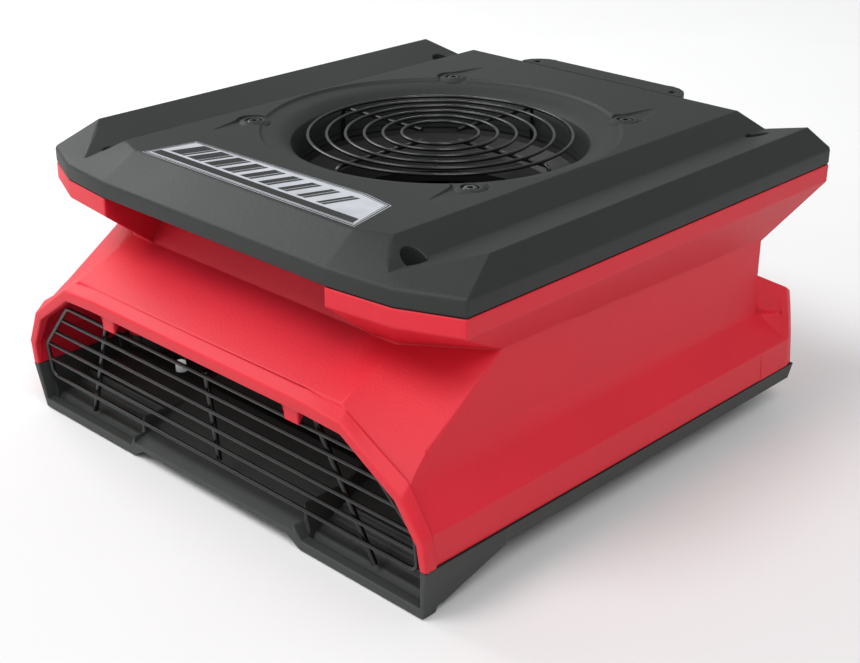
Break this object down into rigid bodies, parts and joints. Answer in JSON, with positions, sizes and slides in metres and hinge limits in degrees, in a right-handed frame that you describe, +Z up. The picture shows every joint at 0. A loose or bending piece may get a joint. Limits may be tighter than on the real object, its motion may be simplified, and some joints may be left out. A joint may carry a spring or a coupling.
{
  "type": "radial air mover",
  "caption": "Low, square radial air mover: round guarded air inlet in the lid, wide wire-grilled outlet at the front, carrying handle and control panel at the back.",
  "frame": {"origin": "centre of the bounding box on the floor, level with the front feet", "axes": "+Z up; -Y out of the air outlet, so +Y points to the handle and the control panel; +X to the right seen from the front"},
  "size_m": [0.4456, 0.4762, 0.235],
  "materials": {
    "lid_plastic": "textured",
    "base_plastic": "textured",
    "red_plastic": "textured",
    "label_film": "gloss",
    "zinc_screw": "satin",
    "foot_rubber": "matt",
    "black_wire": "semi-gloss",
    "black_plastic": "matt",
    "black_screw": "black oxide",
    "bright_steel": "polished",
    "plate_steel": "zinc plated",
    "motor_paint": "satin",
    "copper_winding": "varnished",
    "capacitor_case": "gloss",
    "panel_plastic": "fine texture",
    "knob_plastic": "satin",
    "button_plastic": "satin",
    "rocker_plastic": "gloss",
    "clear_window": "clear",
    "socket_plastic": "satin"
  },
  "bodies": {
    "body": {"top_cover": "lid_plastic", "carry_handle": "lid_plastic", "base_pan": "base_plastic", "upper_housing": "red_plastic", "label_plate": "label_film", "lid_screws": "black_screw", "housing_screws": "zinc_screw", "panel_screws": "zinc_screw", "motor_screws": "zinc_screw", "rear_foot_screws": "zinc_screw", "rear_feet": "foot_rubber", "inlet_guard": "black_wire", "outlet_grille": "black_wire", "grille_rods": "black_wire", "inlet_nozzle": "black_plastic", "scroll_wall": "black_plastic", "duct_guides": "black_plastic", "motor_bearings": "bright_steel", "motor_plate": "plate_steel", "motor_can": "motor_paint", "motor_cap": "motor_paint", "motor_winding": "copper_winding", "capacitor": "capacitor_case", "capacitor_clip": "plate_steel", "control_panel": "panel_plastic", "speed_control": "black_plastic", "breaker_body": "black_plastic", "rocker_frame": "black_plastic", "hour_meter": "black_plastic", "meter_window": "clear_window", "power_socket": "socket_plastic", "cord_gland": "black_plastic"},
    "impeller": {"impeller_wheel": "black_plastic", "impeller_blades": "black_plastic", "impeller_shroud": "black_plastic", "drive_shaft": "bright_steel", "shaft_nut": "zinc_screw"},
    "knob": {"speed_knob": "knob_plastic"},
    "reset_button": {"breaker_button": "button_plastic"},
    "rocker": {"power_rocker": "rocker_plastic"}
  },
  "joints": [
    {"name": "impeller_spin", "type": "hinge", "parent": "body", "child": "impeller", "pos_m": [0, 0.01784, 0.11], "axis": [0, 0, 1], "continuous": true},
    {"name": "speed_turn", "type": "hinge", "parent": "body", "child": "knob", "pos_m": [-0.068, 0.21513, 0.078], "axis": [0, 1, 0], "range_deg": [0, 270]},
    {"name": "reset_press", "type": "slide", "parent": "body", "child": "reset_button", "axis": [0, -1, 0], "range_m": [0, 0.003], "stiffness_N_per_m": 400},
    {"name": "power_rock", "type": "hinge", "parent": "body", "child": "rocker", "pos_m": [0.006, 0.20913, 0.062], "axis": [0, 0, 1], "range_deg": [-16, 0]}
  ]
}
